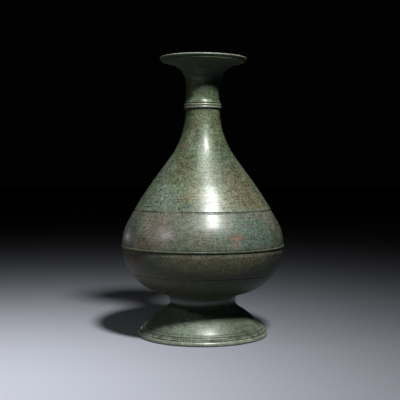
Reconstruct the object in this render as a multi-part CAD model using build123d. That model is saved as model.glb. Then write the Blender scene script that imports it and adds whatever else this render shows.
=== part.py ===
from build123d import *

# Bronze bottle of hu form: hollow turned sections, stacked on the foot and soldered in lap joints.
# Millimetres and degrees, +Z up, origin at the centre of the ring that the foot stands on.
# A lean is an angle from upright, and a turn is the angle that an arc bends through.

import os
from math import asin, cos, degrees, pi, radians, sin

# Walls and fits shared by the sections
body_wall = 2.6
foot_wall = 2.4
mouth_wall = 2.45
solder_film = 0.25
lap_end_gap = 0.3

# Foot
foot_edge_radius = 68.0
foot_edge_rounding = 1.7
foot_edge_height = 0.2
foot_roll_radius = 2.8
foot_roll_turn_deg = 55.0
foot_roll_top = 0.5
foot_tread_width = 4.0
foot_tread_height = 3.2
rim_lean_deg = 48.0
channel_width = 3.4
channel_depth = 0.9
rim_land = 1.4
ridge_radius = 1.6
ridge_turn_deg = 130.0
ridge_margin = 0.3
dome_lean_deg = 36.5
dome_turn_deg = 22.3
splay_run = 4.15
foot_fillet_radius = 8.2
foot_neck_radius = 34.4
foot_flare_radius = 9.4
foot_flare_turn_deg = 58.0

# Beaded border
bead_pitch = 3.0
bead_base_radius = 1.3
bead_top_radius = 0.7
bead_height = 0.9
bead_root = 0.3
border_side_gap = 0.1

# Bowl
bowl_seat_lean_deg = 83.0
bilge_turn_deg = 35.0
bilge_radius = 38.0
bowl_line_width = 1.2
bowl_line_depth = 0.25
bowl_rim_height = 3.95
bowl_spigot_wall = 1.4
bowl_spigot_height = 6.0
tenon_wall = 2.4
tenon_height = 6.5

# Belly band
belly_radius = 84.2
ledge_overhang = 0.65
ledge_roll_radius = 1.2
ledge_roll_back_deg = 45.0
ledge_fillet_radius = 0.8
belly_round_radius = 48.0
belly_turn_deg = 29.0
band_turn_deg = 1.75
seam_cove_width = 2.6
seam_cove_depth = 0.35
tongue_wall = 1.2
tongue_length = 6.0

# Neck and shoulder
seam_step = 0.4
shoulder_turn_deg = 5.65
shoulder_run = 23.4
neck_arc_radius = 85.3
neck_radius = 18.0
neck_land = 0.9

# Neck collar
collar_height = 5.0
collar_band = 1.45
collar_ridge_height = 0.7

# Mouth
tube_step = 0.65
tube_height = 12.65
tube_base_groove = 0.8
tube_base_overhang = 0.8
tube_base_edge = 0.5
tube_base_fillet = 8.0
tube_base_turn_deg = 35.0
mouth_spigot_wall = 1.4
mouth_spigot_reach = 2.0
flare_turn_deg = 76.9
flare_run = 7.7
lip_radius = 45.4
lip_height = 4.2
lip_land = 0.6
lip_lean_deg = 42.0
lip_wall = 1.8

# Points closer than this are one point
TOUCHING = 1e-6


def sine(angle):
    return sin(radians(angle))


def cosine(angle):
    return cos(radians(angle))


class Path:
    """A chain of straight runs and arcs in the half-plane of radius and height.

    A heading is in degrees from straight up, and positive where it leans away from the axis.
    """

    def __init__(self, start, heading):
        self.start = Vector(*start)
        self.start_heading = heading
        self.end = self.start
        self.heading = heading
        self.steps = []
        self.edges = []

    def line(self, length):
        forward = Vector(sine(self.heading), cosine(self.heading))
        return self.add(Line(self.end, self.end + forward * length), ("line", length), self.heading)

    def arc(self, radius, heading):
        """An arc that starts along the path and bends until it has the given heading."""
        forward = (sine(self.heading), cosine(self.heading))
        edge = JernArc(self.end, forward, radius, self.heading - heading)
        return self.add(edge, ("arc", radius, heading), heading)

    def corner(self, heading):
        self.heading = heading
        return self

    def groove(self, width, depth):
        """A straight run of this length with a round groove along it."""
        ahead = self.heading
        radius = (width**2 / 4 + depth**2) / (2 * depth)
        dip = degrees(asin(width / 2 / radius))
        return self.corner(ahead - dip).arc(radius, ahead + dip).corner(ahead)

    def add(self, edge, step, heading):
        self.edges.append(edge)
        self.steps.append(step)
        self.end = edge @ 1
        self.heading = heading
        return self

    def beside(self, inset, along=0.0):
        """The point at this distance inwards from the path's end, and along it."""
        side = Vector(-cosine(self.heading), sine(self.heading))
        forward = Vector(sine(self.heading), cosine(self.heading))
        return self.end + side * inset + forward * along

    def lining(self, wall):
        """The parallel path, one wall further in. The path has no corners."""
        inner = Path(Path(self.start, self.start_heading).beside(wall), self.start_heading)
        for kind, size, *rest in self.steps:
            if kind == "line":
                inner.line(size)
            else:
                (heading,) = rest
                inward_bend = heading < inner.heading
                inner.arc(size - wall if inward_bend else size + wall, heading)
        return inner

    def back(self):
        """The same path, followed from its end to its start."""
        reverse = Path(self.end, self.heading)
        reverse.edges = self.edges
        reverse.end = self.start
        return reverse


def turned(*outline):
    """Solid of revolution whose section is the closed outline of these paths and points, in order."""
    runs = [item if isinstance(item, Path) else Path(item, 0.0) for item in outline]
    edges = [edge for run in runs for edge in run.edges]
    for here, there in zip(runs, runs[1:] + runs[:1]):
        if (there.start - here.end).length > TOUCHING:
            edges.append(Line(here.end, there.start))
    return revolve(Plane.XZ * make_face(edges), Axis.Z)


def sleeve(inner_radius, outer_radius, bottom, top):
    return turned((inner_radius, bottom), (outer_radius, bottom), (outer_radius, top), (inner_radius, top))


# Foot: the rolled edge, the channel and the ridge climb the rim, then the dome closes in to the neck.
edge_start = (foot_edge_radius - foot_edge_rounding, 0.0)
foot_rim = Path(edge_start, 90.0).arc(foot_edge_rounding, 0.0).line(foot_edge_height)
foot_rim.arc(foot_roll_radius, -foot_roll_turn_deg).line(foot_roll_top)
channel_outer = Path(foot_rim.end, -rim_lean_deg)
channel_floor = Path(channel_outer.beside(channel_depth), -rim_lean_deg).line(channel_width)
ridge_start = -rim_lean_deg + ridge_turn_deg / 2
ridge_end = -rim_lean_deg - ridge_turn_deg / 2
rim_crown = Path(channel_floor.beside(-channel_depth), -rim_lean_deg).line(rim_land)
rim_crown.corner(ridge_start).arc(ridge_radius, ridge_end)
rim_crown.corner(-rim_lean_deg).line(ridge_margin)

splay_lean = dome_lean_deg + dome_turn_deg
fillet_run = foot_fillet_radius * (1 - cosine(splay_lean))
dome_run = rim_crown.end.X - foot_neck_radius - fillet_run - splay_run * sine(splay_lean)
dome_radius = dome_run / (cosine(dome_lean_deg) - cosine(splay_lean))
dome = Path(rim_crown.end, -dome_lean_deg).arc(dome_radius, -splay_lean).line(splay_run)
dome.arc(foot_fillet_radius, 0.0)
foot_flare = Path(dome.end, 0.0).arc(foot_flare_radius, foot_flare_turn_deg)
seat_radius = foot_flare.end.X
seat_height = foot_flare.end.Y
foot_bore = foot_neck_radius - foot_wall
tread_inside = foot_edge_radius - foot_edge_rounding - foot_tread_width
foot = turned(
    foot_rim, channel_floor, rim_crown, dome, foot_flare,
    (foot_bore, seat_height), dome.lining(foot_wall).back(),
    (tread_inside, foot_tread_height), (tread_inside, 0.0),
)

# Beaded border: a ring fills the channel, and a row of beads stands on it.
ring_bottom = Path(channel_floor.start, -rim_lean_deg).line(border_side_gap)
ring_floor = Path(ring_bottom.end, -rim_lean_deg).line(channel_width - 2 * border_side_gap)
ring = turned(ring_floor, ring_floor.beside(-channel_depth), ring_bottom.beside(-channel_depth))
bead_line = Path(channel_floor.start, -rim_lean_deg).line(channel_width / 2)
bead_seat = bead_line.beside(bead_root - channel_depth)
bead_axis = (cosine(rim_lean_deg), 0.0, sine(rim_lean_deg))
bead_plane = Plane((bead_seat.X, 0.0, bead_seat.Y), z_dir=bead_axis)
from_base = (Align.CENTER, Align.CENTER, Align.MIN)
bead = bead_plane * Cone(bead_base_radius, bead_top_radius, bead_root + bead_height, align=from_base)
bead_count = round(2 * pi * bead_seat.X / bead_pitch)
beads = [Rot(0, 0, 360.0 * index / bead_count) * bead for index in range(bead_count)]
beaded_border = ring + beads

# Bowl: turned flat below to sit on the foot, with a line round it, and stepped in above
# to enter the belly band.
bowl_radius = belly_radius - ledge_overhang
bilge_run = bilge_radius * (1 - cosine(bilge_turn_deg))
line_run = bowl_line_width * sine(bilge_turn_deg)
bottom_run = bowl_radius - seat_radius - line_run - bilge_run
bottom_radius = bottom_run / (cosine(bilge_turn_deg) - cosine(bowl_seat_lean_deg))
bowl_outside = Path((seat_radius, seat_height), bowl_seat_lean_deg).arc(bottom_radius, bilge_turn_deg)
bowl_outside.groove(bowl_line_width, bowl_line_depth).arc(bilge_radius, 0.0).line(bowl_rim_height)
bottom_centre = Path((seat_radius, seat_height), bowl_seat_lean_deg).beside(bottom_radius)
bowl_round = Path(bottom_centre - Vector(0, bottom_radius), 90.0).arc(bottom_radius, bilge_turn_deg)
bowl_round.line(bowl_line_width).arc(bilge_radius, 0.0).line(bowl_rim_height)
bowl_inside = bowl_round.lining(body_wall)
ledge_height = bowl_outside.end.Y
spigot_inside = bowl_inside.end.X
spigot_outside = spigot_inside + bowl_spigot_wall
spigot_top = ledge_height + bowl_spigot_height
tenon_outside = foot_bore - solder_film
tenon_inside = tenon_outside - tenon_wall
tenon_bottom = seat_height - tenon_height
bowl = turned(
    (0.0, bowl_inside.start.Y), bowl_inside, (spigot_inside, spigot_top), (spigot_outside, spigot_top),
    (spigot_outside, ledge_height), bowl_outside.back(), (tenon_outside, seat_height),
    (tenon_outside, tenon_bottom), (tenon_inside, tenon_bottom), (tenon_inside, seat_height),
    (0.0, seat_height),
)
solder_foot = sleeve(tenon_outside, foot_bore, tenon_bottom, seat_height)

# Belly band: its rolled edge rests on the bowl, and a tongue rises behind the cove at its upper edge.
band_socket = spigot_outside + solder_film
socket_top = spigot_top + lap_end_gap
roll_return = (ledge_roll_radius + ledge_fillet_radius) * (1 - cosine(ledge_roll_back_deg))
roll_reach = ledge_roll_radius - roll_return
band_outside = Path((belly_radius - roll_reach, ledge_height), 90.0)
band_outside.arc(ledge_roll_radius, -ledge_roll_back_deg).arc(ledge_fillet_radius, 0.0)
belly_start = band_outside.end
seam_lean = belly_turn_deg + band_turn_deg
shoulder_lean = seam_lean + shoulder_turn_deg
belly_run = belly_round_radius * (1 - cosine(belly_turn_deg))
neck_run = neck_arc_radius * (1 - cosine(shoulder_lean)) + shoulder_run * sine(shoulder_lean)
step_run = seam_step * cosine(shoulder_lean) - seam_cove_width * sine(seam_lean)
flank_run = belly_radius - belly_run - neck_run - neck_radius + step_run
flank_radius = flank_run / (cosine(belly_turn_deg) - cosine(shoulder_lean))
band_outside.arc(belly_round_radius, -belly_turn_deg).arc(flank_radius, -seam_lean)
band_outside.groove(seam_cove_width, seam_cove_depth)
socket_lean = degrees(asin((socket_top - belly_start.Y) / (belly_round_radius - body_wall)))
above_socket = Path(belly_start, 0.0).arc(belly_round_radius, -socket_lean)
band_round = Path(above_socket.end, -socket_lean).arc(belly_round_radius, -belly_turn_deg)
band_inside = band_round.arc(flank_radius, -seam_lean).line(seam_cove_width).lining(body_wall)
tongue_inset = body_wall - tongue_wall
belly_band = turned(
    (band_socket, ledge_height), band_outside, band_outside.beside(tongue_inset),
    band_outside.beside(tongue_inset, tongue_length), band_outside.beside(body_wall, tongue_length),
    band_inside.back(), (band_socket, socket_top),
)
solder_belly = sleeve(spigot_outside, band_socket, ledge_height, spigot_top)

# Neck and shoulder: one sweep from the seam to the neck, rebated below for the tongue
# and bored above for the mouth.
seam_socket = tongue_inset - solder_film
shoulder_outside = Path(band_outside.beside(-seam_step), -seam_lean)
shoulder_radius = flank_radius + seam_step
lap_length = tongue_length + lap_end_gap
lap_lean = seam_lean + degrees(lap_length / shoulder_radius)
above_lap = Path(shoulder_outside.end, -seam_lean).arc(shoulder_radius, -lap_lean)
shoulder_outside.arc(shoulder_radius, -shoulder_lean).line(shoulder_run).arc(neck_arc_radius, 0.0)
neck_start = shoulder_outside.end.Y
collar_bottom = neck_start + neck_land
neck_top = collar_bottom + collar_height
shoulder_outside.line(neck_land + collar_height)
mouth_socket_drop = mouth_spigot_reach + lap_end_gap
bore_lean = degrees(asin(mouth_socket_drop / (neck_arc_radius + body_wall)))
shoulder_round = Path(above_lap.end, -lap_lean).arc(shoulder_radius, -shoulder_lean)
shoulder_inside = shoulder_round.line(shoulder_run).arc(neck_arc_radius, -bore_lean).lining(body_wall)
tube_radius = neck_radius - tube_step
tube_bore = tube_radius - mouth_wall
mouth_spigot_radius = tube_bore + mouth_spigot_wall
mouth_socket = mouth_spigot_radius + solder_film
neck_shoulder = turned(
    shoulder_outside, (mouth_socket, neck_top), (mouth_socket, shoulder_inside.end.Y),
    shoulder_inside.back(), band_outside.beside(seam_socket, lap_length), band_outside.beside(seam_socket),
)
solder_shoulder = turned(
    band_outside.beside(tongue_inset), band_outside.beside(seam_socket),
    band_outside.beside(seam_socket, tongue_length), band_outside.beside(tongue_inset, tongue_length),
)

# Neck collar: a sleeve with two round ridges, level with the top of the neck.
collar_inside = neck_radius + solder_film
ridge_foot_radius = collar_inside + collar_band - collar_ridge_height
ridge_half = collar_height / 4
collar_ridge_radius = (ridge_half**2 + collar_ridge_height**2) / (2 * collar_ridge_height)
ridge_lean = degrees(asin(ridge_half / collar_ridge_radius))
collar_face = Path((ridge_foot_radius, collar_bottom), ridge_lean).arc(collar_ridge_radius, -ridge_lean)
collar_face.corner(ridge_lean).arc(collar_ridge_radius, -ridge_lean)
neck_collar = turned((collar_inside, collar_bottom), collar_face, (collar_inside, neck_top))
solder_collar = sleeve(neck_radius, collar_inside, collar_bottom, neck_top)

# Mouth: a flared base above a groove, the tube and the trumpet, whose lip leans out above a narrow
# upright land and has a round top.
tube_base_radius = tube_radius + tube_base_fillet * (1 - cosine(tube_base_turn_deg))
lip_round = lip_wall / 2
lip_rise = lip_height - lip_land - lip_round * (1 + sine(lip_lean_deg))
lip_slope = lip_rise / cosine(lip_lean_deg)
lip_overhang = lip_slope * sine(lip_lean_deg) + lip_round * (1 - cosine(lip_lean_deg))
flare_reach = lip_radius - lip_overhang - tube_radius - flare_run * sine(flare_turn_deg)
flare_radius = flare_reach / (1 - cosine(flare_turn_deg))
groove_radius = tube_base_radius - tube_base_overhang
groove_top = neck_top + tube_base_groove
mouth_outside = Path((tube_base_radius, groove_top), 0.0).line(tube_base_edge)
mouth_outside.corner(-tube_base_turn_deg).arc(tube_base_fillet, 0.0).line(tube_height)
throat = mouth_outside.end
mouth_outside.arc(flare_radius, flare_turn_deg).line(flare_run)
mouth_outside.corner(0.0).line(lip_land).corner(lip_lean_deg).line(lip_slope)
mouth_outside.arc(lip_round, lip_lean_deg - 180.0)
lip_bend = flare_turn_deg - lip_lean_deg
lip_cover = (lip_wall - mouth_wall * cosine(lip_bend)) / sine(lip_bend)
mouth_round = Path(throat, 0.0).arc(flare_radius, flare_turn_deg).line(flare_run - lip_cover)
mouth_inside = mouth_round.lining(mouth_wall)
mouth_spigot_bottom = neck_start - mouth_spigot_reach
mouth = turned(
    (tube_bore, mouth_spigot_bottom), (mouth_spigot_radius, mouth_spigot_bottom),
    (mouth_spigot_radius, neck_top), (groove_radius, neck_top), (groove_radius, groove_top),
    mouth_outside, mouth_inside.back(),
)
solder_neck = sleeve(mouth_spigot_radius, mouth_socket, mouth_spigot_bottom, neck_top)

pieces = {
    "foot": foot,
    "beaded_border": beaded_border,
    "bowl": bowl,
    "belly_band": belly_band,
    "neck_shoulder": neck_shoulder,
    "neck_collar": neck_collar,
    "mouth": mouth,
    "solder_foot": solder_foot,
    "solder_belly": solder_belly,
    "solder_shoulder": solder_shoulder,
    "solder_neck": solder_neck,
    "solder_collar": solder_collar,
}
os.makedirs("parts", exist_ok=True)
for name, piece in pieces.items():
    export_step(piece, f"parts/{name}.step")
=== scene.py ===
import math

import bpy
import numpy as np
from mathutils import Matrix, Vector


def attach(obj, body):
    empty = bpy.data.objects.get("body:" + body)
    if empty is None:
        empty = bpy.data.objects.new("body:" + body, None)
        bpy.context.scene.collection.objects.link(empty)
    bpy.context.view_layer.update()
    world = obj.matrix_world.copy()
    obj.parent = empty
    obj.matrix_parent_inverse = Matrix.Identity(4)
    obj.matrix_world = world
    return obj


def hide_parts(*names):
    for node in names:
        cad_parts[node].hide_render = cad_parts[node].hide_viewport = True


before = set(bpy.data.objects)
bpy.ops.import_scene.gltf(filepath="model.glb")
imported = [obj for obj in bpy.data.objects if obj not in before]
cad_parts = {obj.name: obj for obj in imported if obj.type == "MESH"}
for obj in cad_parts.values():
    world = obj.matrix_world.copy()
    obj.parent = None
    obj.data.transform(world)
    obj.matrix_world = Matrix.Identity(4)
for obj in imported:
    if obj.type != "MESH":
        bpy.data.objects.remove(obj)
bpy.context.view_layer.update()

# A bronze bottle on a splayed foot. Each turned piece is spun again from the section of its own solid,
# finer and with eased edges, and gets a patina made of layers of noise. Lengths are in metres, and in
# mm where a comment says so. +Z is up, and the front of the vessel faces -Y. An azimuth is in degrees
# to the right of the front.

BODY = "root"
MM = 0.001

# Reading a section: how near to the half-plane y = 0 its vertices lie, and the digits kept
SEAM_WIDTH = 1e-6
SEAM_DIGITS = 7

# Smoothing a section: the bend of a corner, the ratio that makes a chord a straight run, the longest
# step, and the round of an edge with its largest share of a step
CORNER_DEG = 23.0
STRAIGHT_RATIO = 2.5
PROFILE_STEP = 1.5 * MM
EDGE_EASE = 0.16 * MM
EASE_SHARE = 0.4
EASE_STEPS = 4

# Wear: the reach over which bends add up, and the bend of a fully worn edge, in radians per metre
WEAR_REACH = 0.45 * MM
WEAR_BEND = 650.0

# Out-of-round of the old castings: turns round the vessel, waves per metre up it, size, phase
WARP_WAVES = (
    (2, 3.1, 0.10 * MM, 0.4),
    (3, 9.7, 0.05 * MM, 2.1),
    (5, 17.0, 0.04 * MM, 4.4),
    (9, 31.0, 0.025 * MM, 1.3),
    (14, 23.0, 0.02 * MM, 5.2),
)
WARP_FULL_RADIUS = 20 * MM

# Settling of the neck above the collar: the mouth stands a little off the axis and leans to one side
SETTLE_FROM = 0.245
SETTLE_TO = 0.285
SETTLE_SHIFT = 0.55 * MM
SETTLE_LEAN = math.radians(0.5)

# Fine grooves scored round the outside on the lathe, at heights in mm. Their shape is in shares of their
# width and depth. Points of the outline in the room beside a groove's middle, and within reach of it,
# give way to the groove.
GROOVE_WIDTH = 0.9 * MM
GROOVE_DEPTH = 0.04 * MM
GROOVE_SHAPE = ((-0.5, 0.0), (-0.22, 0.6), (0.0, 1.0), (0.22, 0.6), (0.5, 0.0))
GROOVE_ROOM = 0.6 * GROOVE_WIDTH
GROOVE_REACH = 2 * PROFILE_STEP
GROOVE_HEIGHTS = {
    "neck_shoulder": (139.2, 141.6, 146.9, 154.3, 156.6, 164.0, 171.5, 226.8, 228.6),
    "belly_band": (97.5, 99.0, 113.0, 121.8),
    "bowl": (54.5, 57.3, 86.2, 88.3),
    "mouth": (244.3,),
    "foot": (13.6, 15.2),
}

# Beaded border: directions down the rim's slope and square to it, as radius and height
RIM_LEAN = math.radians(48.0)
DOWN_SLOPE = np.array([math.sin(RIM_LEAN), -math.cos(RIM_LEAN)])
OFF_SLOPE = np.array([math.cos(RIM_LEAN), math.sin(RIM_LEAN)])
CHANNEL_DEPTH = 0.9 * MM
BEAD_COUNT = 136
BEAD_RADIUS = 1.32 * MM
BEAD_COLUMNS = 12
BORDER_ROWS = 18

# Beads differ in size and in worn height. Their tops shine, dirt lies between them, and where they are
# packed past the grimy limit, grime covers them.
BEAD_SEED = 5
BEAD_UNEVEN = 0.06
BEAD_WORN = 0.35
BEAD_SHINE = 0.45
BEAD_DIRT = 0.7
BEAD_GRIMY = 0.6
BEAD_GRIME = 0.9

# Colours, as they look in plain light
OLIVE = "#5b6c4c"
DEEP_OLIVE = "#43523c"
PALE_OLIVE = "#728468"
GREY_GREEN = "#687666"
GREY_MOSS = "#63715a"
GREY_OLIVE = "#6b6a5b"
GREY_BROWN = "#7c796a"
PALE_GREY = "#77806f"
TEAL = "#5b7163"
BLUE_GREEN = "#7a897f"
VERDIGRIS = "#8a9a86"
CREAM = "#a8b09a"
BROWN = "#655843"
RUST = "#6d5a3a"
TAN = "#7a7056"
PURPLE_BROWN = "#67564f"
RED = "#85604f"
DARK_BOWL = "#55533f"
# A dark teal used as painted shade, and on the bowl's right also as a dark teal stain
DARK_TEAL_SHADE = "#3a433b"
# Earth: dirt in pits, grooves and some stains, and painted shade in other stains and levels
EARTH_AND_SHADE = "#211f17"
RUBBED = "#868a72"
SOLDER_GREY = "#8c8f90"
SOLDER_DARK = "#6d7071"

# Tones of a patina: deep, body and pale, then a warm and a cool one that drift over them
GREENISH = (DEEP_OLIVE, OLIVE, PALE_OLIVE, BROWN, GREY_MOSS)
GREYISH = (DEEP_OLIVE, GREY_OLIVE, GREY_BROWN, PURPLE_BROWN, GREY_MOSS)
DARKISH = (DEEP_OLIVE, DARK_BOWL, OLIVE, BROWN, DEEP_OLIVE)
FOOTISH = (OLIVE, PALE_GREY, VERDIGRIS, PALE_OLIVE, GREY_GREEN)

# Turned pieces of bronze: sides round the axis, tones, gloss, grit. The border has the last three.
TURNED = {
    "foot": (360, FOOTISH, 1.0, 0.6),
    "bowl": (360, DARKISH, 0.4, 0.8),
    "belly_band": (360, GREYISH, 1.0, 0.75),
    "neck_shoulder": (360, GREENISH, 1.0, 1.0),
    "neck_collar": (240, GREENISH, 1.2, 0.7),
    "mouth": (300, GREENISH, 0.9, 0.8),
}
BORDER_FINISH = (FOOTISH, 1.0, 0.8)
SOLDERS = ("solder_foot", "solder_belly", "solder_shoulder", "solder_neck", "solder_collar")
SOLDER_SIDES = 96

# Seeds: from one noise to the next, from one turned piece to the next, and of the other materials
NOISE_APART = 1.7
PIECE_APART = 11.0
BORDER_SEED = 77.0
SOLDER_SEED = 90.0

# Layers of the patina, in the order of their seeds: the call of Paint that makes one, its size in mm and
# the call's other settings, which are detail, roughness and distortion for noise, and squeeze for streaks
LAYERS = {
    "cloud": ("noise", 45.0, 5.0, 0.62, 0.6),
    "drift": ("noise", 60.0, 4.0, 0.6, 0.8),
    "mottle": ("noise", 10.0, 6.0, 0.7, 0.3),
    "streak": ("streaks", 9.0, 7.0),
    "grain": ("noise", 1.5, 2.0, 0.6),
    "blot": ("noise", 3.5, 3.0, 0.6, 0.5),
    "rings": ("lines", 1.6),
    "coarse": ("lines", 6.0),
    "ragged": ("noise", 20.0, 6.0, 0.7, 0.5),
    "speckle": ("noise", 4.0, 4.0, 0.7),
    "cluster": ("noise", 30.0, 3.0, 0.6),
    "pits": ("noise", 1.9, 2.0, 0.5, 0.4),
    "specks": ("noise", 1.6, 2.0, 0.6),
}
TURNING_NOISE = {"Detail": 3.0, "Roughness": 0.7}
STREAK_NOISE = {"Detail": 3.0, "Roughness": 0.6}
NOISE_MIDDLE = 0.5

# Smooth steps: the value where a step starts and where it ends, then what is given there, if not 0 and 1.
# The rubbed and dirt steps are of wear, and the inside step is of how the surface faces the axis.
BODY_STEP = (0.34, 0.52)
PALE_STEP = (0.5, 0.68)
WARM_STEP = (0.5, 0.68, 0.0, 0.45)
COOL_STEP = (0.48, 0.66, 0.0, 0.7)
SPECKLE_STEP = (0.36, 0.6, 0.35, 1.0)
CLUSTER_STEP = (0.42, 0.62, 0.2, 0.9)
PIT_STEP = (0.59, 0.69)
SPECK_STEP = (0.62, 0.74)
SPECK_DRIFT_STEP = (0.45, 0.6, 0.05, 0.4)
RUBBED_STEP = (0.08, 0.8)
RUBBED_MOTTLE_STEP = (0.35, 0.6, 0.08, 0.3)
DIRT_STEP = (-0.05, -0.7)
DIRT_MOTTLE_STEP = (0.4, 0.6, 0.9, 0.2)
INSIDE_STEP = (-0.25, -0.7, 0.0, 0.6)

# The share of earth in a pit
PIT_FILL = 0.7

# Edges of stains: a level is full over its core, and the ragged noise makes gaps in it and swings a patch
LEVEL_CORE = 0.75
LEVEL_GAP_STEP = (0.35, 0.55, 0.4, 1.0)
PATCH_STEP = (1.05, 0.35)
PATCH_RAGGED = 2.2

# Light and dark: the spread of a layer, and how far it swings the colour. Grit scales grain and blots.
GRAIN_SPREAD = (0.25, 0.75)
SPREAD = (0.3, 0.7)
GRAIN_SWING = 0.7
BLOT_SWING = 0.25
TURNING_SWINGS = {"streak": 0.2, "rings": 0.05, "coarse": 0.06}

# Roughness of the patina, what the other layers add to it, and the height of each layer's relief in mm
ROUGH_STEP = (*SPREAD, 0.46, 0.56)
STREAK_ROUGH_STEP = (*SPREAD, -0.04, 0.04)
ADDED_ROUGH = {"pits": 0.25, "dirt": 0.3}
RELIEF = {"grain": 0.020, "rings": 0.030, "streak": 0.020, "mottle": 0.08, "pits": -0.05}

# Gloss: the broad shine of the patina and the sharper one of the wax on it, which matt stains lose
METAL = 0.1
SHINE = 0.7
WAX = 0.6
WAX_ROUGH = 0.29
MATT_WAX = 3.0

# Solder: the size of its noise in mm, then detail and roughness
SOLDER_NOISE = (4.0, 4.0, 0.6)
SOLDER_ROUGH_STEP = (*SPREAD, 0.35, 0.55)
SOLDER_METAL = 0.8

# Stains and, where marked, patches of painted shade: colour, share, azimuth, height in mm, reach in mm, how
# much taller than wide. Their centres lie on the outside of the piece, which is measured at this many
# levels.
OUTSIDE_LEVELS = 200
STAINS_AND_SHADE = {
    "mouth": (
        # Painted shade: the right of the trumpet and the tube under it, darkened where the flare shades
        # them
        (DARK_TEAL_SHADE, 0.9, 45, 274.0, 26.0, 1.0),
        (EARTH_AND_SHADE, 0.8, 30, 271.0, 18.0, 0.75),
        # Painted shade on the left of the tube, under the flare
        (DARK_TEAL_SHADE, 0.6, -65, 258.0, 14.0, 1.2),
        (DEEP_OLIVE, 0.6, -40, 275.0, 18.0, 0.7),
        (BROWN, 0.6, 140, 270.0, 18.0, 1.0),
    ),
    "neck_shoulder": (
        (BLUE_GREEN, 1.0, -40, 145.0, 28.0, 0.7),
        (TEAL, 0.75, -58, 172.0, 17.0, 1.4),
        (TAN, 0.9, 30, 145.0, 26.0, 0.6),
        (RUST, 1.0, 52, 146.0, 24.0, 0.9),
        (BROWN, 0.7, 42, 162.0, 26.0, 1.2),
        (DEEP_OLIVE, 0.8, 46, 180.0, 26.0, 1.2),
        (RUST, 0.8, -46, 198.0, 4.5, 1.0),
        (TAN, 0.85, -11, 147.0, 18.0, 0.7),
        (TEAL, 0.9, -13, 138.5, 5.5, 0.6),
        (TEAL, 0.8, 140, 160.0, 26.0, 1.0),
        (RUST, 0.8, -150, 150.0, 22.0, 0.8),
        (BLUE_GREEN, 0.7, 175, 185.0, 18.0, 1.3),
    ),
    "belly_band": (
        (PURPLE_BROWN, 0.9, -32, 110.0, 26.0, 0.8),
        # Painted shade: the belly darkened towards its left edge and its right edge
        (DARK_TEAL_SHADE, 1.0, -70, 112.0, 38.0, 1.0),
        (EARTH_AND_SHADE, 0.5, 80, 112.0, 26.0, 1.0),
        (EARTH_AND_SHADE, 0.3, -18, 116.0, 34.0, 0.8),
        (TEAL, 1.0, 38, 110.0, 40.0, 0.9),
        (RED, 0.7, 25, 107.5, 8.0, 0.6),
        (RED, 0.75, 22, 100.0, 6.5, 2.2),
        (VERDIGRIS, 0.4, 22, 99.0, 13.0, 0.6),
        (BROWN, 0.9, -42, 96.5, 22.0, 0.35),
        (TEAL, 0.8, 160, 108.0, 28.0, 0.9),
        (PURPLE_BROWN, 0.8, -140, 112.0, 24.0, 0.8),
        (RED, 0.7, -165, 104.0, 7.0, 1.3),
    ),
    "bowl": (
        (PURPLE_BROWN, 0.7, -55, 86.0, 20.0, 0.6),
        # A dark teal stain on the right of the bowl, deepened by painted shade, and more painted shade
        # beside it
        (DARK_TEAL_SHADE, 0.95, 60, 74.0, 44.0, 0.9),
        (EARTH_AND_SHADE, 0.6, 72, 76.0, 40.0, 0.9),
        (TEAL, 0.6, -150, 75.0, 26.0, 0.7),
        (RUST, 0.6, 150, 80.0, 24.0, 0.7),
    ),
    "foot": (
        (VERDIGRIS, 0.7, -15, 15.0, 22.0, 1.0),
        (OLIVE, 0.7, 40, 14.0, 24.0, 1.0),
        (TEAL, 0.7, 140, 14.0, 20.0, 1.0),
    ),
}

# Bands that run right round, stains and, where marked, painted light, shade and highlights: colour, share,
# height in mm, reach up and down in mm, added roughness
LEVELS = {
    "foot": (
        # The rim roll paler and glossier: partly worn bronze, partly a painted sheen of the lamp's
        # highlight
        (CREAM, 0.85, 2.4, 3.2, -0.1),
    ),
    "neck_shoulder": (
        # A painted highlight along the shoulder's lower edge, then a paler, glossier band on the lower
        # shoulder, partly a painted sheen where the highlight falls
        (PALE_GREY, 0.7, 133.4, 1.5, 0.0),
        (PALE_GREY, 0.3, 143.0, 16.0, -0.08),
        (BROWN, 0.2, 170.5, 15.0, 0.0),
    ),
    "neck_collar": (
        # A paler, glossier collar as a painted highlight on its ridges, and dark lines of painted shade in
        # its grooves
        (CREAM, 0.45, 238.8, 4.0, -0.1),
        (EARTH_AND_SHADE, 0.8, 238.8, 0.4, 0.2),
        (EARTH_AND_SHADE, 0.8, 241.3, 0.4, 0.2),
        (EARTH_AND_SHADE, 0.8, 236.2, 0.4, 0.2),
    ),
    "bowl": (
        # Painted light: a paler band under the ledge that lifts the shadow the ledge casts on the bowl
        (GREY_BROWN, 0.7, 90.6, 2.4, 0.0),
    ),
    "belly_band": (
        (DEEP_OLIVE, 0.95, 94.0, 2.4, 0.33),
    ),
    "mouth": (
        # Painted shade: a darker, matter band on the trumpet where its flare shades it; then a paler,
        # glossier base of the tube and top of the lip, each partly a painted highlight
        (DEEP_OLIVE, 0.6, 278.0, 12.0, 0.25),
        (PALE_OLIVE, 0.3, 247.5, 6.5, -0.15),
        (PALE_GREY, 0.5, 288.6, 1.0, -0.1),
    ),
}

# Lamps, aimed at one point: azimuth, distance from the axis, height, width, how much taller than wide,
# level, and the collection that they light, if not everything
AIM = (0.0, 0.0, 0.13)
LAMPS = {
    "key": (20.0, 0.57, 0.865, 0.14, 1.0, 1.0, None),
    "top": (13.0, 0.37, 1.1, 0.22, 1.9, 0.21, "vessel"),
    "fill": (-66.0, 1.0, 0.8, 0.12, 1.0, 0.06, None),
    "glint": (-54.0, 1.0, 0.54, 0.16, 1.0, 0.15, "belly"),
    "rim": (-131.0, 1.2, 0.18, 0.05, 1.0, 0.014, "belly"),
    "back": (182.0, 1.0, 1.3, 0.8, 1.0, 0.5, "vessel"),
}

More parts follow.
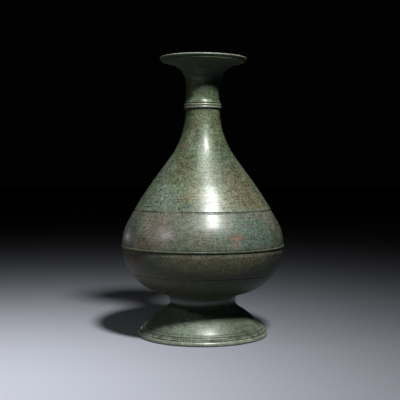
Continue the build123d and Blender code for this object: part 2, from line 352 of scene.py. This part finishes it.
# Floor: its colour as it is seen and as it throws light back, and a painted pool of light on it that fades
# into painted shade away from its middle
FLOOR_REACH = 6.0
FLOOR_SIDES = 96
FLOOR_COLOUR = "#eef2ff"
FLOOR_BOUNCE = "#38383a"
FLOOR_POOL_MIDDLE = (-0.27, -0.2, 0.0)
FLOOR_FADE = (2.1, 1.6, 0.0)
FLOOR_FALL = -2.0
FLOOR_ROUGH = 0.9
FLOOR_SHINE = 0.1

# Air: the background as it is seen, and the weak light from all round
BACKGROUND = "#020202"
AMBIENT = 0.004

# The photograph's camera: the eye in metres, then in pixels the focal length, the frame, the column of
# the vessel's axis and the row of the horizon, and the sensor in mm
EYE_DISTANCE = 0.8826
EYE_HEIGHT = 0.1778
FOCAL_PIXELS = 842.5
FRAME_PIXELS = 400.0
AXIS_COLUMN = 202.7
HORIZON_ROW = 164.95
SENSOR_WIDTH = 36.0

# Sockets of a Mix node that mixes colours
MIX_SHARE, MIX_FIRST, MIX_SECOND, MIX_RESULT = 0, 6, 7, 2


def section(node):
    """The outline of a turned node where the half-plane y = 0 cuts it: (radius, height) points in order."""
    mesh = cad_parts[node].data
    spots = {}
    for vertex in mesh.vertices:
        x, y, z = vertex.co
        if abs(y) < SEAM_WIDTH and x > -SEAM_WIDTH:
            spots[vertex.index] = (round(x, SEAM_DIGITS), round(z, SEAM_DIGITS))
    links = {}
    for edge in mesh.edges:
        a, b = (spots.get(index) for index in edge.vertices)
        if a and b and a != b:
            links.setdefault(a, set()).add(b)
            links.setdefault(b, set()).add(a)
    ends = sorted(spot for spot in links if len(links[spot]) == 1)
    walk = [ends[0] if ends else min(links)]
    seen = {walk[0]}
    while True:
        ahead = sorted(links[walk[-1]] - seen)
        if not ahead:
            break
        walk.append(ahead[0])
        seen.add(ahead[0])
    # A flat disc across the axis has no edge in the half-plane, so the outline is drawn on to the axis
    if ends:
        walk = [(0.0, walk[0][1])] + walk + [(0.0, walk[-1][1])]
    outline = np.array(walk)
    following = np.roll(outline, -1, axis=0)
    area = np.sum(outline[:, 0] * following[:, 1] - following[:, 0] * outline[:, 1])
    return outline if area > 0 else outline[::-1]


def unit(vector):
    """The direction of a vector, at length 1."""
    return vector / np.linalg.norm(vector)


def bend(before, after):
    """The angle from one direction to the next, positive to the left, which is outwards round a solid."""
    cross = before[0] * after[1] - before[1] * after[0]
    return math.atan2(cross, float(np.dot(before, after)))


def joint_direction(before, after, length_before, length_after):
    """The direction of a smooth outline at a joint of two chords. A much longer chord is a straight run."""
    if length_before > STRAIGHT_RATIO * length_after:
        return before
    if length_after > STRAIGHT_RATIO * length_before:
        return after
    return unit(before * length_after + after * length_before)


def mirrored(direction, chord):
    """The direction at the other end of an arc over the chord."""
    return 2 * np.dot(direction, chord) * chord - direction


def curve(start, end, direction_in, direction_out, count):
    """Points along a cubic from start to end, without the end."""
    span = np.linalg.norm(end - start)
    t = (np.arange(count) / count)[:, None]
    return (
        start * (2 * t**3 - 3 * t**2 + 1) + end * (3 * t**2 - 2 * t**3)
        + span * (direction_in * (t**3 - 2 * t**2 + t) + direction_out * (t**3 - t**2))
    )


def eased_corner(corner, back, ahead):
    """A small round in place of a corner."""
    t = (np.arange(EASE_STEPS + 1) / EASE_STEPS)[:, None]
    return list((corner - back) * (1 - t) ** 2 + 2 * corner * t * (1 - t) + (corner + ahead) * t**2)


def smooth_outline(outline, step):
    """The outline with its arcs made round again, its corners eased and its runs divided."""
    count = len(outline)
    chords = [outline[(i + 1) % count] - outline[i] for i in range(count)]
    lengths = [float(np.linalg.norm(chord)) for chord in chords]
    units = [chord / length for chord, length in zip(chords, lengths)]
    corner = [abs(bend(units[i - 1], units[i])) > math.radians(CORNER_DEG) for i in range(count)]
    joint = [
        joint_direction(units[i - 1], units[i], lengths[i - 1], lengths[i]) for i in range(count)
    ]
    points = []
    for i in range(count):
        after = (i + 1) % count
        direction_in, direction_out = joint[i], joint[after]
        if corner[i] and corner[after]:
            direction_in = direction_out = units[i]
        elif corner[i]:
            direction_in = mirrored(direction_out, units[i])
        elif corner[after]:
            direction_out = mirrored(direction_in, units[i])
        pieces = max(1, math.ceil(lengths[i] / step))
        run = curve(outline[i], outline[after], direction_in, direction_out, pieces)
        ease = min(EDGE_EASE, EASE_SHARE * lengths[i] / pieces)
        if corner[i] and outline[i][0] > 0:
            back = min(EDGE_EASE, EASE_SHARE * lengths[i - 1])
            points.extend(eased_corner(outline[i], units[i - 1] * back, direction_in * ease))
            run = run[1:]
        points.extend(run)
    return np.array(points)


def scored(points, heights):
    """The outline with a fine round groove at each height, on the outside."""
    for height in heights:
        ahead = np.roll(points, -1, axis=0)
        crossing = np.nonzero((points[:, 1] <= height) & (ahead[:, 1] > height))[0]
        start = max(crossing, key=lambda index: points[index, 0])
        share = (height - points[start, 1]) / (ahead[start, 1] - points[start, 1])
        middle = points[start] + share * (ahead[start] - points[start])
        forward = unit(ahead[start] - points[start])
        inward = np.array([-forward[1], forward[0]])
        groove = [
            middle + forward * GROOVE_WIDTH * run + inward * GROOVE_DEPTH * dip
            for run, dip in GROOVE_SHAPE
        ]
        offsets = points - middle
        near = np.linalg.norm(offsets, axis=1) < GROOVE_REACH
        near &= np.abs(offsets @ forward) < GROOVE_ROOM
        before = [point for index, point in enumerate(points) if index <= start and not near[index]]
        after = [point for index, point in enumerate(points) if index > start and not near[index]]
        points = np.array(before + groove + after)
    return points


def lengths_along(points):
    """The distance round the outline to each point, and the length of the outline."""
    lengths = np.linalg.norm(np.roll(points, -1, axis=0) - points, axis=1)
    return np.concatenate([[0.0], np.cumsum(lengths)[:-1]]), lengths.sum()


def wear_of(points):
    """How sharply the outline bends near each point: 1 on a proud edge, -1 deep in a groove."""
    units = np.array([unit(chord) for chord in np.roll(points, -1, axis=0) - points])
    bends = np.array([bend(units[i - 1], units[i]) for i in range(len(points))])
    along, total = lengths_along(points)
    apart = np.abs(along[:, None] - along[None, :])
    apart = np.minimum(apart, total - apart)
    weight = np.exp(-((apart / WEAR_REACH) ** 2)) / (WEAR_REACH * math.sqrt(math.pi))
    return np.clip(weight @ bends / WEAR_BEND, -1.0, 1.0)


def outer_run(points):
    """Heights and radii up the outside of an outline."""
    levels = np.linspace(points[:, 1].min(), points[:, 1].max(), OUTSIDE_LEVELS)
    ahead = np.roll(points, -1, axis=0)
    radii = []
    for level in levels:
        spans = np.nonzero((points[:, 1] - level) * (ahead[:, 1] - level) <= 0)[0]
        radii.append(max(max(points[index, 0], ahead[index, 0]) for index in spans))
    return levels, np.array(radii)


def outside(outline, azimuth, height):
    """The point on the outside of a turned piece at an azimuth and a height."""
    radius = np.interp(height, *outer_run(outline))
    angle = math.radians(azimuth)
    return radius * math.sin(angle), -radius * math.cos(angle), height


def warp(radius, angle, height):
    """The radius after the slight out-of-round that all the pieces share, so that they still fit."""
    swell = sum(
        size * np.sin(turns * angle + 2 * math.pi * waves * height + phase)
        for turns, waves, size, phase in WARP_WAVES
    )
    return radius + swell * np.minimum(1.0, radius / WARP_FULL_RADIUS)


def settled(vertices):
    """The vertices with the mouth's small shift and lean, which grow over the tube."""
    share = np.clip((vertices[:, 2] - SETTLE_FROM) / (SETTLE_TO - SETTLE_FROM), 0.0, 1.0)
    share = share**2 * (3 - 2 * share)
    drop = share * math.tan(SETTLE_LEAN) * vertices[:, 0]
    return vertices + np.stack([share * SETTLE_SHIFT, 0 * share, -drop], 1)


def mesh_piece(name, vertices, faces, attributes):
    """A smooth piece of the vessel, settled, with a number per vertex for each attribute."""
    mesh = bpy.data.meshes.new(name)
    mesh.from_pydata(settled(vertices).tolist(), [], faces)
    for key, values in attributes.items():
        layer = mesh.attributes.new(key, "FLOAT", "POINT")
        layer.data.foreach_set("value", np.asarray(values, np.float32))
    mesh.shade_smooth()
    mesh.update()
    piece = bpy.data.objects.new(name, mesh)
    vessel.objects.link(piece)
    return piece


def spun(name, points, wear, sides):
    """A closed mesh: the outline spun about the axis. Points on the axis become single vertices."""
    along, _ = lengths_along(points)
    angles = 2 * math.pi * np.arange(sides) / sides
    vertices, faces, rings, row_of = [], [], [], []
    for row, (radius, height) in enumerate(points):
        first = len(row_of)
        if radius < SEAM_WIDTH:
            block = np.array([[0.0, 0.0, height]])
            rings.append([first] * sides)
        else:
            reach = warp(radius, angles, height)
            block = np.stack([reach * np.cos(angles), reach * np.sin(angles), np.full(sides, height)], 1)
            rings.append(list(range(first, first + sides)))
        vertices.append(block)
        row_of.extend([row] * len(block))
    for row in range(len(points)):
        here, there = rings[row], rings[(row + 1) % len(points)]
        if here[0] == here[-1] and there[0] == there[-1]:
            continue
        for j in range(sides):
            k = (j + 1) % sides
            corners = [here[j], here[k], there[k], there[j]]
            faces.append(list(dict.fromkeys(corners)))
    attributes = {"wear": wear[row_of], "along": along[row_of]}
    return mesh_piece(name, np.concatenate(vertices), faces, attributes)


def dress(piece, node, material):
    """The piece rides on the vessel and stands for its node, in that node's finish."""
    piece.data.materials.append(material)
    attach(piece, BODY)
    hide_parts(node)
    return piece


def turned_piece(node, outline, sides, material):
    """A turned node, smooth, with its scored grooves. Its edges wear as they would without the grooves."""
    points = scored(outline, [height * MM for height in GROOVE_HEIGHTS.get(node, ())])
    nearest = np.linalg.norm(points[:, None] - outline[None, :], axis=2).argmin(axis=1)
    wear = wear_of(outline)[nearest]
    return dress(spun("turned_" + node, points, wear, sides), node, material)


def border_limits():
    """The border's edges down the rim's slope, and its underside and top square to it, from its node."""
    corners = np.array([vertex.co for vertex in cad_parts["beaded_border"].data.vertices])
    radius = np.hypot(corners[:, 0], corners[:, 1])
    slope = radius * DOWN_SLOPE[0] + corners[:, 2] * DOWN_SLOPE[1]
    rise = radius * OFF_SLOPE[0] + corners[:, 2] * OFF_SLOPE[1]
    return slope.min(), slope.max(), rise.min(), rise.max()


def border_rows(angles):
    """Rows of points across the border: place down the slope, then level off it and wear at each angle."""
    inner_edge, outer_edge, underside, bead_top = border_limits()
    band_top = underside + CHANNEL_DEPTH
    middle = (inner_edge + outer_edge) / 2
    turn = np.round(np.arange(len(angles)) / BEAD_COLUMNS)
    bead_of = turn.astype(int) % BEAD_COUNT
    rng = np.random.default_rng(BEAD_SEED)
    size = 1 + BEAD_UNEVEN * rng.uniform(-1, 1, BEAD_COUNT)[bead_of]
    height = (bead_top - band_top) * (1 - BEAD_WORN * rng.uniform(0, 1, BEAD_COUNT)[bead_of])
    packed = rng.uniform(0, 1, BEAD_COUNT)
    grime = BEAD_GRIME * (packed + np.roll(packed, 1) > 2 * BEAD_GRIMY)[bead_of]
    middle_radius = (middle * DOWN_SLOPE + band_top * OFF_SLOPE)[0]
    sideways = middle_radius * (angles - 2 * math.pi * turn / BEAD_COUNT)
    bare = np.full(len(angles), underside)
    dirt = np.full(len(angles), -BEAD_DIRT)
    rows = [(inner_edge, bare, dirt)]
    for place in np.linspace(inner_edge, outer_edge, BORDER_ROWS):
        share = np.hypot(sideways, place - middle) / (BEAD_RADIUS * size)
        dome = np.sqrt(np.clip(1 - share**2, 0, None))
        wear = np.where(share < 1, BEAD_SHINE * (2 * dome - 1) - grime, -BEAD_DIRT)
        rows.append((place, band_top + height * dome, wear))
    rows.append((outer_edge, bare, dirt))
    return rows


def beaded_border(material):
    """The pearled ring: a flat band in the slope of the rim, with a round bead at every pitch."""
    columns = BEAD_COUNT * BEAD_COLUMNS
    angles = 2 * math.pi * np.arange(columns) / columns
    rows = border_rows(angles)
    vertices, faces = [], []
    for place, level, _ in rows:
        height = place * DOWN_SLOPE[1] + level * OFF_SLOPE[1]
        reach = warp(place * DOWN_SLOPE[0] + level * OFF_SLOPE[0], angles, height)
        vertices.append(np.stack([reach * np.cos(angles), reach * np.sin(angles), height], 1))
    for row in range(len(rows)):
        here, there = row * columns, (row + 1) % len(rows) * columns
        for j in range(columns):
            k = (j + 1) % columns
            faces.append([here + k, here + j, there + j, there + k])
    along = np.repeat([place for place, _, _ in rows], columns)
    attributes = {"wear": np.concatenate([wear for _, _, wear in rows]), "along": along}
    piece = mesh_piece("pearled_border", np.concatenate(vertices), faces, attributes)
    return dress(piece, "beaded_border", material)


def linear(code):
    """The linear colour of an sRGB hex code."""
    shares = [int(code[i : i + 2], 16) / 255 for i in (1, 3, 5)]
    straight = [
        share / 12.92 if share <= 0.04045 else ((share + 0.055) / 1.055) ** 2.4 for share in shares
    ]
    return straight + [1.0]


class Paint:
    """Short calls that add shader nodes to one material and join them up."""

    def __init__(self, name, seed=0.0):
        self.material = bpy.data.materials.new(name)
        self.material.use_nodes = True
        self.tree = self.material.node_tree
        self.shader = self.tree.nodes["Principled BSDF"]
        self.seed = seed
        self.place = self.add("TexCoord").outputs["Object"]

    def add(self, kind, sockets=None, **settings):
        """A new node. A socket is given a number, a colour, a vector or another node's output."""
        node = self.tree.nodes.new("ShaderNode" + kind)
        for key, value in settings.items():
            setattr(node, key, value)
        for key, value in (sockets or {}).items():
            if isinstance(value, bpy.types.NodeSocket):
                self.tree.links.new(value, node.inputs[key])
            else:
                node.inputs[key].default_value = value
        return node

    def link(self, output, socket):
        """Join an output to a socket of the shader."""
        self.tree.links.new(output, self.shader.inputs[socket])

    def set(self, socket, value):
        """Set a socket of the shader to one value all over."""
        self.shader.inputs[socket].default_value = value

    def noise(self, size, detail, roughness, distortion=0.0):
        """Noise from 0 to 1 whose largest features are about this size. Each call has its own pattern."""
        self.seed += NOISE_APART
        sockets = {
            "Vector": self.place, "W": self.seed, "Scale": 1 / size, "Detail": detail,
            "Roughness": roughness, "Distortion": distortion,
        }
        return self.add("TexNoise", sockets, noise_dimensions="4D").outputs[0]

    def lines(self, size):
        """Noise that changes only along the outline, as turning lines do."""
        self.seed += NOISE_APART
        shifted = self.math("ADD", self.attribute("along"), self.seed)
        sockets = {"W": shifted, "Scale": 1 / size, **TURNING_NOISE}
        return self.add("TexNoise", sockets, noise_dimensions="1D").outputs[0]

    def streaks(self, size, squeeze):
        """Noise drawn out round the vessel: as long as the size, and thinner along the outline."""
        self.seed += NOISE_APART
        around = self.add("SeparateXYZ", {0: self.place}).outputs
        across = self.math("MULTIPLY", self.attribute("along"), squeeze)
        place = self.add("CombineXYZ", {0: around[0], 1: around[1], 2: across}).outputs[0]
        sockets = {"Vector": place, "W": self.seed, "Scale": 1 / size, **STREAK_NOISE}
        return self.add("TexNoise", sockets, noise_dimensions="4D").outputs[0]

    def attribute(self, name):
        """A number that the mesh holds at each vertex."""
        return self.add("Attribute", attribute_name=name).outputs["Fac"]

    def math(self, operation, first, second=0.0):
        """Maths on one or two numbers."""
        return self.add("Math", {0: first, 1: second}, operation=operation).outputs[0]

    def vector(self, operation, first, second=(0.0, 0.0, 0.0)):
        """Maths on one or two vectors: a number for a length or a dot product, and else a vector."""
        outputs = self.add("VectorMath", {0: first, 1: second}, operation=operation).outputs
        return outputs["Value" if operation in ("LENGTH", "DOT_PRODUCT") else "Vector"]

    def band(self, value, low, high, start=0.0, end=1.0):
        """A smooth step of the value from low to high, given from start to end."""
        sockets = {"Value": value, "From Min": low, "From Max": high, "To Min": start, "To Max": end}
        return self.add("MapRange", sockets, interpolation_type="SMOOTHSTEP").outputs[0]

    def both(self, first, first_step, second, second_step):
        """The product of a smooth step of one value and a smooth step of another."""
        return self.math("MULTIPLY", self.band(first, *first_step), self.band(second, *second_step))

    def mix(self, share, first, second, blend="MIX"):
        """The first colour with a share of the second."""
        sockets = {MIX_SHARE: share, MIX_FIRST: first, MIX_SECOND: second}
        return self.add("Mix", sockets, data_type="RGBA", blend_type=blend).outputs[MIX_RESULT]

    def level(self, height, reach, ragged):
        """1 at a height and 0 beyond its reach up or down, with gaps made by the ragged noise."""
        above = self.math("SUBTRACT", self.add("SeparateXYZ", {0: self.place}).outputs[2], height)
        near = self.band(self.math("ABSOLUTE", above), reach, LEVEL_CORE * reach)
        return self.math("MULTIPLY", near, self.band(ragged, *LEVEL_GAP_STEP))

    def patch(self, centre, reach, tall, ragged, speckle):
        """A speckled 1 near a point and 0 beyond its reach, with an edge broken by the ragged noise."""
        scale = (1 / reach, 1 / reach, 1 / (reach * tall))
        apart = self.vector("MULTIPLY", self.vector("SUBTRACT", self.place, centre), scale)
        swing = self.math("MULTIPLY", self.math("SUBTRACT", ragged, NOISE_MIDDLE), PATCH_RAGGED)
        far = self.math("ADD", self.vector("LENGTH", apart), swing)
        return self.math("MULTIPLY", self.band(far, *PATCH_STEP), speckle)


def patina_layers(paint):
    """The layers of a patina by name: its noises, the edges that are rubbed and the grooves with dirt."""
    layers = {
        name: getattr(paint, kind)(size * MM, *settings)
        for name, (kind, size, *settings) in LAYERS.items()
    }
    layers["speckle"] = paint.band(layers["speckle"], *SPECKLE_STEP)
    layers["pits"] = paint.both(layers["pits"], PIT_STEP, layers["cluster"], CLUSTER_STEP)
    layers["specks"] = paint.both(layers["specks"], SPECK_STEP, layers["drift"], SPECK_DRIFT_STEP)
    wear = paint.attribute("wear")
    layers["rubbed"] = paint.both(wear, RUBBED_STEP, layers["mottle"], RUBBED_MOTTLE_STEP)
    layers["dirt"] = paint.both(wear, DIRT_STEP, layers["mottle"], DIRT_MOTTLE_STEP)
    return layers


def clouded(paint, layers, tones):
    """The colour of a patina without stains: its tones in mottles and drifting clouds."""
    deep, body, pale, warm, cool = (linear(tone) for tone in tones)
    colour = paint.mix(paint.band(layers["mottle"], *BODY_STEP), deep, body)
    colour = paint.mix(paint.band(layers["mottle"], *PALE_STEP), colour, pale)
    colour = paint.mix(paint.band(layers["cloud"], *WARM_STEP), colour, warm)
    return paint.mix(paint.band(layers["drift"], *COOL_STEP), colour, cool)


def stained_and_painted_light(paint, layers, colour, patches, levels):
    """The colour with its stains and its painted shade, light and highlights, and the roughness that they
    add.
    """
    matt = 0.0
    for shade, share, centre, reach, tall in patches:
        mask = paint.patch(centre, reach, tall, layers["ragged"], layers["speckle"])
        colour = paint.mix(paint.math("MULTIPLY", mask, share), colour, linear(shade))
    for shade, share, height, reach, dull in levels:
        mask = paint.level(height * MM, reach * MM, layers["ragged"])
        colour = paint.mix(paint.math("MULTIPLY", mask, share), colour, linear(shade))
        matt = paint.math("ADD", paint.math("MULTIPLY", mask, dull), matt)
    return colour, matt


def grained(paint, layers, grit):
    """Light and dark from grain, blots, streaks and turning lines, about 1."""
    grain = GRAIN_SWING * grit
    light = paint.band(layers["grain"], *GRAIN_SPREAD, 1 - grain, 1 + grain)
    swings = {"blot": BLOT_SWING * grit, **TURNING_SWINGS}
    for name, swing in swings.items():
        light = paint.math("ADD", light, paint.band(layers[name], *SPREAD, -swing, swing))
    return light


def inner_side(paint):
    """A share that rises where the surface faces the axis, inside the walls."""
    outward = paint.vector("NORMALIZE", paint.vector("MULTIPLY", paint.place, (1.0, 1.0, 0.0)))
    normal = paint.add("NewGeometry").outputs["Normal"]
    return paint.band(paint.vector("DOT_PRODUCT", normal, outward), *INSIDE_STEP)


def weathered(paint, layers, colour, grit):
    """The colour with specks, earth in pits and grooves, grain, rubbed edges and a deeper inside."""
    colour = paint.mix(layers["specks"], colour, linear(VERDIGRIS))
    colour = paint.mix(paint.math("MULTIPLY", layers["pits"], PIT_FILL), colour, linear(EARTH_AND_SHADE))
    colour = paint.mix(1.0, colour, grained(paint, layers, grit), "MULTIPLY")
    colour = paint.mix(layers["rubbed"], colour, linear(RUBBED))
    colour = paint.mix(layers["dirt"], colour, linear(EARTH_AND_SHADE))
    return paint.mix(inner_side(paint), colour, linear(DEEP_OLIVE))


def roughness(paint, layers, matt):
    """The roughness of a patina, with what its stains, pits and dirt add."""
    rough = paint.band(layers["mottle"], *ROUGH_STEP)
    rough = paint.math("ADD", rough, paint.band(layers["streak"], *STREAK_ROUGH_STEP))
    rough = paint.math("ADD", rough, matt)
    for name, added in ADDED_ROUGH.items():
        rough = paint.math("ADD", rough, paint.math("MULTIPLY", layers[name], added))
    return rough


def relief(paint, layers):
    """The normal of a surface with the fine relief of its layers."""
    height = 0.0
    for name, size in RELIEF.items():
        height = paint.math("ADD", paint.math("MULTIPLY", layers[name], size), height)
    return paint.add("Bump", {"Height": height, "Distance": MM, "Strength": 1.0}).outputs[0]


def bronze(name, seed, tones, gloss, grit, patches=(), levels=()):
    """Old bronze under a patina, with listed stains.

    Gloss scales the shine and the wax, and grit the contrast of the grain.
    A patch is a colour, its share, its centre, its reach and how much taller than wide it is.
    A level is a colour, its share, its height and reach in mm, and the roughness that it adds.
    Some patches and levels are painted shade, painted light and painted highlights, not stains.
    """
    paint = Paint(name, seed)
    layers = patina_layers(paint)
    colour, matt = stained_and_painted_light(paint, layers, clouded(paint, layers, tones), patches, levels)
    paint.link(weathered(paint, layers, colour, grit), "Base Color")
    paint.link(roughness(paint, layers, matt), "Roughness")
    paint.link(relief(paint, layers), "Normal")
    paint.set("Metallic", METAL)
    paint.set("Specular IOR Level", SHINE * gloss)
    paint.set("Coat Weight", WAX * gloss)
    paint.set("Coat Roughness", WAX_ROUGH)
    if any(dull for *_, dull in levels):
        wax = paint.math("SUBTRACT", 1.0, paint.math("MULTIPLY", matt, MATT_WAX))
        wax = paint.math("MULTIPLY", wax, WAX * gloss)
        paint.link(paint.add("Clamp", {"Value": wax}).outputs[0], "Coat Weight")
    return paint.material


def stains(node, outline):
    """The patches of a turned piece, stains and painted shade, each with its centre on the outside of the
    piece.
    """
    return [
        (shade, share, outside(outline, azimuth, height * MM), reach * MM, tall)
        for shade, share, azimuth, height, reach, tall in STAINS_AND_SHADE.get(node, ())
    ]


def solder(name):
    """Dull grey solder."""
    paint = Paint(name, SOLDER_SEED)
    size, detail, rough = SOLDER_NOISE
    dull = paint.noise(size * MM, detail, rough)
    paint.link(paint.mix(dull, linear(SOLDER_DARK), linear(SOLDER_GREY)), "Base Color")
    paint.link(paint.band(dull, *SOLDER_ROUGH_STEP), "Roughness")
    paint.set("Metallic", SOLDER_METAL)
    return paint.material


def softbox(name, azimuth, distance, height, width, tall, level, lit):
    """An area lamp that faces the vessel and lights all there is, or the collection named by lit alone.

    At level 1 it shows a facing surface in that surface's own colour.
    """
    data = bpy.data.lights.new(name, "AREA")
    data.shape = "ELLIPSE"
    data.size = width
    data.size_y = width * tall
    lamp = bpy.data.objects.new(name, data)
    bpy.context.scene.collection.objects.link(lamp)
    turn = math.radians(azimuth)
    lamp.location = (distance * math.sin(turn), -distance * math.cos(turn), height)
    away = lamp.location - Vector(AIM)
    data.energy = level * math.pi**2 * away.length_squared
    lamp.rotation_mode = "QUATERNION"
    lamp.rotation_quaternion = (-away).to_track_quat("-Z", "Y")
    if lit:
        lamp.light_linking.receiver_collection = bpy.data.collections[lit]


def seen_ray(tree):
    """1 for rays that show a surface, from the camera, off gloss or through glass. 0 for spread light."""
    path = tree.nodes.new("ShaderNodeLightPath").outputs
    seen = path["Is Camera Ray"]
    for ray in ("Is Glossy Ray", "Is Transmission Ray"):
        either = tree.nodes.new("ShaderNodeMath")
        either.operation = "MAXIMUM"
        tree.links.new(seen, either.inputs[0])
        tree.links.new(path[ray], either.inputs[1])
        seen = either.outputs[0]
    return seen


def studio_floor():
    """A pale round floor with a painted pool of light that fades into the dark of the studio."""
    turns = 2 * math.pi * np.arange(FLOOR_SIDES) / FLOOR_SIDES
    edge = np.stack([FLOOR_REACH * np.cos(turns), FLOOR_REACH * np.sin(turns), 0 * turns], 1)
    mesh = bpy.data.meshes.new("floor")
    mesh.from_pydata(edge.tolist(), [], [range(FLOOR_SIDES)])
    floor = bpy.data.objects.new("floor", mesh)
    bpy.context.scene.collection.objects.link(floor)
    paint = Paint("floor")
    # The floor's colour is darkened away from a middle in front and to the left: a painted pool of light
    apart = paint.vector("MULTIPLY", paint.vector("SUBTRACT", paint.place, FLOOR_POOL_MIDDLE), FLOOR_FADE)
    squared = paint.vector("DOT_PRODUCT", apart, apart)
    pale = paint.math("POWER", paint.math("ADD", squared, 1.0), FLOOR_FALL)
    shade = paint.mix(seen_ray(paint.tree), linear(FLOOR_BOUNCE), linear(FLOOR_COLOUR))
    paint.link(paint.mix(1.0, shade, pale, "MULTIPLY"), "Base Color")
    paint.set("Roughness", FLOOR_ROUGH)
    paint.set("Specular IOR Level", FLOOR_SHINE)
    mesh.materials.append(paint.material)


def studio_air():
    """Weak even light from all round. Seen directly or in a reflection, it is the dark background."""
    world = bpy.data.worlds.new("studio")
    bpy.context.scene.world = world
    world.use_nodes = True
    tree = world.node_tree
    shown = tree.nodes.new("ShaderNodeMix")
    shown.data_type = "RGBA"
    tree.links.new(seen_ray(tree), shown.inputs[MIX_SHARE])
    shown.inputs[MIX_FIRST].default_value = (AMBIENT, AMBIENT, AMBIENT, 1.0)
    shown.inputs[MIX_SECOND].default_value = linear(BACKGROUND)
    tree.links.new(shown.outputs[MIX_RESULT], tree.nodes["Background"].inputs["Color"])


def photo_camera():
    """The photograph's camera, turned so that the vessel's axis and the horizon lie as they do there."""
    data = bpy.data.cameras.new("camera")
    data.sensor_width = SENSOR_WIDTH
    data.lens = FOCAL_PIXELS * SENSOR_WIDTH / FRAME_PIXELS
    camera = bpy.data.objects.new("camera", data)
    bpy.context.scene.collection.objects.link(camera)
    camera.location = (0.0, -EYE_DISTANCE, EYE_HEIGHT)
    middle = FRAME_PIXELS / 2
    gaze = Vector((middle - AXIS_COLUMN, FOCAL_PIXELS, HORIZON_ROW - middle))
    camera.rotation_mode = "QUATERNION"
    camera.rotation_quaternion = gaze.to_track_quat("-Z", "Y")
    bpy.context.scene.camera = camera


# The vessel
vessel = bpy.data.collections.new("vessel")
bpy.context.scene.collection.children.link(vessel)
outlines = {node: smooth_outline(section(node), PROFILE_STEP) for node in (*TURNED, *SOLDERS)}
pieces = {}
solder_grey = solder("solder_grey")
for node in SOLDERS:
    pieces[node] = turned_piece(node, outlines[node], SOLDER_SIDES, solder_grey)
for order, (node, (sides, tones, gloss, grit)) in enumerate(TURNED.items()):
    patches = stains(node, outlines[node])
    levels = LEVELS.get(node, ())
    patina = bronze(node + "_patina", PIECE_APART * order, tones, gloss, grit, patches, levels)
    pieces[node] = turned_piece(node, outlines[node], sides, patina)
pieces["beaded_border"] = beaded_border(bronze("border_patina", BORDER_SEED, *BORDER_FINISH))

# The studio
belly = bpy.data.collections.new("belly")
belly.objects.link(pieces["belly_band"])
for name, row in LAMPS.items():
    softbox(name, *row)
studio_floor()
studio_air()
photo_camera()
bpy.context.scene.view_settings.view_transform = "Standard"
